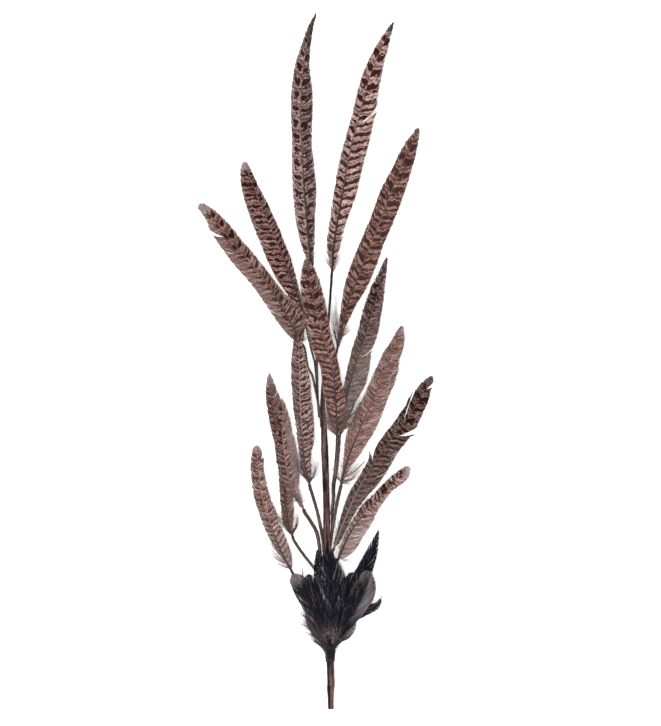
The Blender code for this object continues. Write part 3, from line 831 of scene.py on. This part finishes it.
def down_barbs(vane, rng, plan):
    """Loose downy barbs on both sides of the lower shaft."""
    low, high, count, out, forward, pale = plan
    share = rng.uniform(low, high, count)
    side = np.where(rng.uniform(size=count) < 0.5, -1, 1)
    reach = rng.uniform(*out, count) * np.interp(share, (low, high), (0.6, 1))
    run = reach * rng.uniform(*forward, count)
    starts = vane.place(share, side * 0.3, np.full(count, 0.1))
    ends = vane.place(share + run / vane.length, side * reach, rng.uniform(-0.4, 0.8, count))
    values = {
        "from_tip": ((1 - share) * vane.length)[:, None, None],
        "across": (side * reach)[:, None, None],
        "down": (pale * rng.uniform(0.6, 1.4, count))[:, None, None],
    }
    return hairs(starts, ends, rng.uniform(-0.12, 0.12, count) * side, rng, values)


def wisp_barbs(vane, wisp, rng):
    """Loose barbs that fan out from one place of a feather to another."""
    ends = []
    for spot, spread in (((wisp.x, wisp.y), 0.4), ((wisp.to_x, wisp.to_y), wisp.fan)):
        nearest = np.argmin(np.hypot(*(vane.line[:, :2] - spot).T))
        middle = np.array((*spot, vane.line[nearest, 2] + WISP_LIFT))
        ends.append(middle + rng.normal(0, spread, (wisp.count, 3)) * (1, 1, 0.3))
    values = {"from_tip": vane.length, "down": wisp.down * rng.uniform(0.4, 1.4, wisp.count)[:, None, None]}
    return hairs(*ends, wisp.bow + rng.normal(0, 0.03, wisp.count), rng, values)


def feather_parts(vane, seed, style, down, splits, wisps):
    """The shaft of a feather, its vanes and its loose barbs."""
    rng = np.random.default_rng(seed)
    parts = [shaft(vane)]
    parts += [side_barbs(vane, side, rng, style, splits) for side in (1, -1)]
    parts.append(down_barbs(vane, rng, down))
    return parts + [wisp_barbs(vane, Wisp(*row), rng) for row in wisps]


def barred_feather(key, seed):
    """One barred tail feather, barb by barb."""
    name = f"feather_{key}"
    plan = FEATHERS[key]
    vane = Vane(plan.spine, plan.left, plan.right, plan.camber, QUILL)
    parts = feather_parts(vane, seed, TAIL_STYLE, TAIL_DOWN, SPLITS.get(key, ()), WISPS.get(key, ()))
    materials = [
        barred_material(f"{name}_barbs", LOOKS[key], vane.length, seed),
        shaft_material(f"{name}_shaft", LOOKS[key], vane.length),
    ]
    return piece(f"{name}_barbed", parts, materials, name)


# The tuft

# Looks of the tuft's feathers: how strong the painted blue grey sheen streaks (a painted highlight), the
# reddish rim and the brown tone are, how pale the tip and the right vane are, the loose hairs' number,
# length and paleness, and how many mm its barbs differ by.
TuftLook = namedtuple("TuftLook", "streaks rim brown tip veil hairs long pale ragged", defaults=(0.25,))

TUFT_LOOKS = {
    "centre": TuftLook(1, 0, 0, 0, 0, 12, (4, 9), 0.05),
    "left_small": TuftLook(0.4, 0, 0, 0.1, 0, 10, (3, 6), 0.1),
    "left": TuftLook(1, 0, 0.1, 0.8, 0, 12, (3, 7), 0.1),
    "right_tall": TuftLook(0.7, 0, 0, 0.1, 0, 40, (3, 7), 0.3, 0.4),
    "right_round": TuftLook(0.8, 1, 0, 0.3, 1, 20, (3, 6), 0.4),
    "right_low": TuftLook(0.6, 0, 0.1, 0.1, 0, 60, (5, 12), 0.8),
    "right_brown": TuftLook(0.6, 0.3, 0.9, 1, 0.6, 90, (5, 12), 0.6),
    "left_brown": TuftLook(0.5, 0.2, 0.8, 0.2, 0, 200, (6, 15), 0.3),
    "under_left": TuftLook(0.4, 0, 0.6, 0.1, 0, 60, (6, 12), 0.2),
    "under_right": TuftLook(0.4, 0, 0.6, 0.1, 0, 40, (6, 12), 0.2),
}

# Loose hairs that the photo shows round the tuft
TUFT_WISPS = {
    "left_brown": (
        (3, -270, -13, -248, 0.1, 40, 3, 0.2), (5, -277, -14, -261, 0.1, 60, 4, 0.2),
        (9, -284, -10, -270, 0.1, 60, 3.5, 0.2), (11, -292, -4, -277, 0.1, 70, 3, 0.15),
        (13, -295, 5, -283, 0.05, 30, 1.5, 0.15),
    ),
    "centre": (
        (10, -284, 2, -264, 0.1, 20, 4, 0.5), (14, -288, 8, -268, -0.1, 50, 5, 0.12),
        (18, -288, 24, -268, 0.1, 50, 5, 0.12), (6, -278, 23, -269, -0.1, 9, 3, 0.9),
        (26, -279, 8, -271, 0.15, 9, 3, 0.9), (13, -284, 9, -260, -0.1, 10, 5, 0.7),
        (17, -282, 13, -258, 0.1, 12, 4, 0.7), (20, -284, 26, -262, -0.1, 12, 4, 0.6),
        (22, -276, 29, -260, 0.1, 10, 3, 0.8), (14, -297, 13, -284, 0, 40, 2.5, 0.03),
        (17, -297, 19, -285, 0, 40, 2.5, 0.03),
    ),
    "right_brown": (
        (20, -284, 35, -264, -0.1, 60, 3, 0.7), (18, -292, 31, -274, -0.1, 50, 2.5, 0.2),
        (30, -270, 39, -258, -0.05, 20, 1.5, 0.9),
    ),
    "right_low": (
        (38, -256, 56, -240, -0.1, 50, 3.5, 1), (36, -258, 50, -238, -0.15, 40, 3, 1),
        (30, -262, 48, -246, -0.1, 30, 3, 0.9), (56, -246, 67, -241, -0.1, 12, 1.2, 0.1),
        (58, -244, 68, -232, 0.1, 8, 1, 0.2),
    ),
    "left": ((-12, -215, -12, -204.5, 0, 6, 0.5, 0.1),),
}

BLACK = (0.005, 0.005, 0.0085)
# Painted sheen: the blue grey of the highlights painted along the tuft's black barbs
PAINTED_SHEEN = (0.17, 0.165, 0.2)
LAVENDER = (0.12, 0.105, 0.12)
BROWN = (0.06, 0.04, 0.04)
RIM = (0.08, 0.041, 0.037)
TIP_PALE = (0.16, 0.14, 0.145)
PALE_HAIR = (0.22, 0.175, 0.175)

TUFT_FORWARD = (2.0, 2.6, 2.4)
TUFT_LOCKS = (4, 10)


def tuft_material(name, look, seed):
    """Near black barbs with painted blue grey sheen streaks along them, and a brown rim where the feather
    has one.
    """
    graph = Graph(bpy.data.materials.new(name))
    tip, across, reach, chance, lock, down = (graph.read(value) for value in VALUES)
    out = abs(across)
    noise = graph.noise((tip * 0.12, across, seed * 5.0), 0.8, 3.0) * 3.0 + chance * 0.3
    veil = graph.by_side(graph.math("SIGN", across), (0.0, look.veil))
    veil = veil * graph.step(out, 0.5, 4.0) * graph.step(tip, 62.0, 30.0)
    colour = graph.mix(veil, blend(BLACK, BROWN, look.brown), LAVENDER)
    # Painted highlight: blue grey sheen streaks along the barbs, strongest in a band beside the shaft nearer
    # the tip
    between = graph.step(out, 2.0, 5.0) * graph.step(out, 14.0, 10.0) * graph.step(tip, 62.0, 45.0)
    glint = graph.step(noise + lock * 0.4, 0.0, 1.2, 0.0, look.streaks) * (0.25 + between * 0.75)
    colour = graph.mix(glint, colour, PAINTED_SHEEN)
    near_rim = graph.step(reach, 0.65, 0.95) * graph.step(tip, 45.0, 5.0)
    colour = graph.mix(near_rim * look.rim, colour, RIM)
    colour = graph.mix(graph.step(tip, 16.0, 2.0, 0.0, look.tip), colour, TIP_PALE)
    colour = graph.mix(down, colour, PALE_HAIR)
    colour = graph.shade(colour, 1.0 + lock * 0.3 + chance * 0.35 + noise * 0.3)
    return graph.finish(colour, 0.6 + lock * 0.1, 0.05)


def tuft_feather(key, seed):
    """One feather of the tuft, with closed vanes and loose hairs towards the quill."""
    name = f"tuft_{key}"
    plan = TUFT[key]
    look = TUFT_LOOKS[key]
    start = beside_stem(TUFT_Y, plan.angle, TUFT_OUT)
    vane = Vane((start, *plan.way), plan.widths, plan.widths, plan.camber, TUFT_QUILL)
    style = BarbStyle(TUFT_FORWARD, TUFT_LOCKS, look.ragged)
    down = Down(0.02, 0.6, look.hairs, look.long, (0.6, 2.4), look.pale)
    parts = feather_parts(vane, seed, style, down, (), TUFT_WISPS.get(key, ()))
    black = tuft_material(f"{name}_barbs", look, seed)
    return piece(f"{name}_barbed", parts, [black, black], name)


# Wrapped pieces

BLACK_TAPE = (0.014, 0.011, 0.012)
BLACKENS = 60.0  # over so many mm the stem's tape turns black
TAPE_DEPTH = 0.0005  # of its creases, in metres
EDGE_FALLS = 0.12  # share of a turn over which the tape's edge falls away
SHARP = 50  # degrees

# The tape's turns repeat after the pitch, and their edges stand out by the ridge.
Winding = namedtuple("Winding", "pitch ridge sides step")
BRANCH_WINDING = Winding(6.5, 0.2, 14, 0.8)
FRONT_WINDING = Winding(7.5, 0.25, 16, 0.8)
STEM_WINDING = Winding(16, 0.2, 24, 0.7)
BINDING_WINDING = Winding(3.5, 0.3, 24, 0.4)


def tape_material(name, colour, pale, seed, black_from=math.inf):
    """Crinkled paper tape, wound in a long spiral, with creases along it and paler ridges where each turn's
    edge stands proud.

    A stem turns black over the last stretch before the given distance from its end.
    """
    graph = Graph(bpy.data.materials.new(name))
    along, turn, edge = (graph.read(value) for value in VALUES[:3])
    crinkle = graph.noise((along * 0.5, turn * 3.0, seed * 3.0), 1.4, 4.0)
    creases = graph.noise((along * 0.025, turn * 1.1, seed * 5.0), 1.0, 4.0)
    blotch = graph.noise((along, turn * 2.0, seed * 9.0), 0.12)
    folds = graph.step(creases, -0.1, 0.1, -0.45, 0.45)
    share = graph.step(edge, 0.7, 1.0) * 0.25 + crinkle * 0.9 + folds + 0.3
    tone = graph.shade(graph.mix(share, colour, pale), 1.0 + blotch * 1.1)
    if black_from < math.inf:
        tone = graph.mix(graph.step(along, black_from - BLACKENS, black_from), tone, BLACK_TAPE)
    graph.bump(crinkle + creases, TAPE_DEPTH, 0.7)
    return graph.finish(tone, 0.75 + crinkle * 0.2, 0.1)


def wrapped(name, line, radii, material, seed, winding):
    """A rod wound with tape: each turn overlaps the last and stands a little proud of it."""
    rng = np.random.default_rng(seed)
    reach = reach_of(line)
    stations = np.linspace(0, reach[-1], int(reach[-1] / winding.step))
    centres = columns_at(stations, reach, line)
    along = unit(np.gradient(centres, axis=0))
    right = unit(np.cross(along, UP))
    up = np.cross(right, along)
    turn = np.arange(winding.sides)[None, :] * 2 * math.pi / winding.sides
    wound = stations[:, None] / winding.pitch + turn / (2 * math.pi)
    edge = wound - np.floor(wound)
    fall = np.clip((1 - edge) / EDGE_FALLS, 0, 1)
    dent, sway = (ripple(stations, scale, rng)[:, None] for scale in (2.5, 9))
    crumple = 0.35 * dent * np.sin(turn * 2 + 3 * sway)
    out = np.interp(stations, reach, radii)[:, None] + winding.ridge * (edge * fall - 0.5) + 0.3 * crumple
    around = right[:, None] * np.cos(turn)[..., None] + up[:, None] * np.sin(turn)[..., None]
    points = centres[:, None] + around * out[..., None]
    first, last = (centres[[end], None] + around[[end]] * NARROWEST for end in (0, -1))
    points = np.concatenate([first, points, last])[None]
    points[..., 2] = np.maximum(points[..., 2], NARROWEST)
    shares = np.r_[0, stations, stations[-1]]
    values = {
        "from_tip": shares[None, :, None],
        "across": np.broadcast_to(turn, (len(shares), winding.sides))[None],
        "reach": np.concatenate([edge[:1], edge, edge[-1:]])[None],
    }
    part = grids(points, ring_uv(winding.sides, len(shares)), values, 0, True)
    made = piece(f"{name}_wound", [part], [material], name)
    made.data.shade_smooth()
    made.data.set_sharp_from_angle(angle=math.radians(SHARP))
    return made


def quill_end(key):
    """Where a feather's quill begins and the way it points, back along the feather."""
    first, second = points_at(FEATHERS[key].spine, (0, 0.01))
    return first, unit(first - second)


def branch_line(top, plan):
    """Points of a branch from its top to where it runs out along the stem."""
    stem_radius = max(stem_at(plan.join_y)[1], stem_at(plan.join_y + LAP)[1])
    far = beside_stem(plan.join_y + LAP, plan.join_angle, stem_radius + 2 * JOIN + plan.radius)
    end = beside_stem(plan.join_y, plan.join_angle, stem_radius + JOIN + WIRE_END)
    return points_at([*top, *plan.way, far, end], np.linspace(0, 1, 60))


def tapering_tail(plan, radius):
    """Places and radii of a branch's end, which thins out along the stem."""
    rows = []
    for part in np.linspace(0.1, 1, 10):
        y = plan.join_y - TAIL * part
        thin = radius + (TAIL_END - radius) * part
        rows.append((*beside_stem(y, plan.join_angle, stem_at(y)[1] + JOIN + thin), thin))
    return np.array(rows)


def branches(material):
    """The twelve wrapped wires between the feathers and the stem."""
    shares = np.linspace(0, 1, 60)
    for seed, (key, plan) in enumerate(BRANCHES.items()):
        start, back = quill_end(key)
        line = branch_line((start, start + back * STRAIGHT), plan)
        radii = plan.radius + (WIRE_END - plan.radius) * shares**6
        wrapped(f"branch_{key}", line, radii, material, seed, BRANCH_WINDING)
    line = branch_line((FRONT_BRANCH_TOP,), FRONT_BRANCH)
    radii = FRONT_BRANCH.radius + (FRONT_WIRE_END - FRONT_BRANCH.radius) * shares
    tail = tapering_tail(FRONT_BRANCH, FRONT_WIRE_END)
    line = np.vstack([line, tail[:, :3]])
    radii = np.concatenate([radii, tail[:, 3]])
    wrapped("branch_front", line, radii, material, 40, FRONT_WINDING)


def main_stem(material):
    """The wrapped stem from its cut end to the quill of the top right feather."""
    rows = points_at(STEM, np.linspace(0, 1, 160))
    line = np.vstack([rows[:-1, :3], quill_end("top_right")[0]])
    wrapped("main_stem", line, rows[:, 3], material, 50, STEM_WINDING)


def binding(material):
    """Black tape bound round the stem and the quills of the tuft."""
    line = np.array([stem_at(y)[0] for y in np.linspace(*BINDING_Y, 30)])
    radii = np.linspace(*BINDING_RADII, 30)
    wrapped("tuft_binding", line, radii, material, 60, BINDING_WINDING)


# Light, floor and camera

VIEW_MIDDLE = (15.5, -2.0)  # the picture's middle, in the design's X and Y
VIEW_HEIGHT = 726  # how much of the design the picture's height shows
VIEW_LEVEL = 12  # height above the surface at which that holds
CAMERA_UP = 3000
SENSOR = 36
CLIP_END = 20  # metres

SUN_POWER = 2.4
SUN_WIDTH = 30  # degrees
SUN_TURN = (4, -6, 0)
FLOOR_SIZE = 6  # metres
FLOOR_GAP = 0.0002
FLOOR_WHITE = (0.93, 0.93, 0.93)
FLOOR_GLOW = 0.42  # the floor is a light table, which keeps its shadows faint
TENT = (0.1, 0.7, 1.1, 0.55)  # from the first height to the second, the first strength turns to the second


def camera():
    """Looks straight down on the spray, from far enough that the heights of its parts hardly shift them."""
    data = bpy.data.cameras.new("camera")
    data.sensor_width = SENSOR
    data.lens = SENSOR * CAMERA_UP / VIEW_HEIGHT
    data.clip_end = CLIP_END
    made = linked("camera", data)
    x, y = (place - middle for place, middle in zip(VIEW_MIDDLE, MIDDLE))
    made.location = (x * MM, y * MM, (CAMERA_UP + VIEW_LEVEL) * MM)
    bpy.context.scene.camera = made


def sun():
    """A soft light from above, so that the shadows lie under the spray."""
    data = bpy.data.lights.new("sun", "SUN")
    data.energy = SUN_POWER
    data.angle = math.radians(SUN_WIDTH)
    linked("sun", data).rotation_euler = [math.radians(turn) for turn in SUN_TURN]


def floor():
    """A plain white surface under the spray."""
    bpy.ops.mesh.primitive_plane_add(size=FLOOR_SIZE, location=(0, 0, -FLOOR_GAP))
    made = bpy.context.object
    made.name = "floor"
    graph = Graph(bpy.data.materials.new("white_surface"))
    graph.feed("Emission Color", (1, 1, 1, 1))
    graph.feed("Emission Strength", FLOOR_GLOW)
    made.data.materials.append(graph.finish((*FLOOR_WHITE, 1), 0.9, 0.5))


def surroundings():
    """White light from all round, strongest near the horizon, as in a light tent."""
    graph = Graph(bpy.data.worlds.new("light_tent"), "Background")
    height = graph.node("SeparateXYZ", [graph.node("TexCoord", (), "Generated")], "Z")
    graph.feed("Color", (1, 1, 1, 1))
    graph.feed("Strength", graph.step(height, *TENT))
    bpy.context.scene.world = graph.owner
    bpy.context.scene.view_settings.view_transform = "Standard"


def main():
    stem_tape = tape_material("stem_tape", (0.013, 0.006, 0.006), (0.175, 0.096, 0.09), 1, 430)
    branch_tape = tape_material("branch_tape", (0.018, 0.011, 0.011), (0.145, 0.1, 0.092), 2)
    binding_tape = tape_material("binding_tape", (0.008, 0.007, 0.008), (0.04, 0.036, 0.038), 3)
    main_stem(stem_tape)
    branches(branch_tape)
    binding(binding_tape)
    for seed, key in enumerate(FEATHERS, 100):
        barred_feather(key, seed)
    for seed, key in enumerate(TUFT, 200):
        tuft_feather(key, seed)
    floor()
    surroundings()
    sun()
    camera()


main()
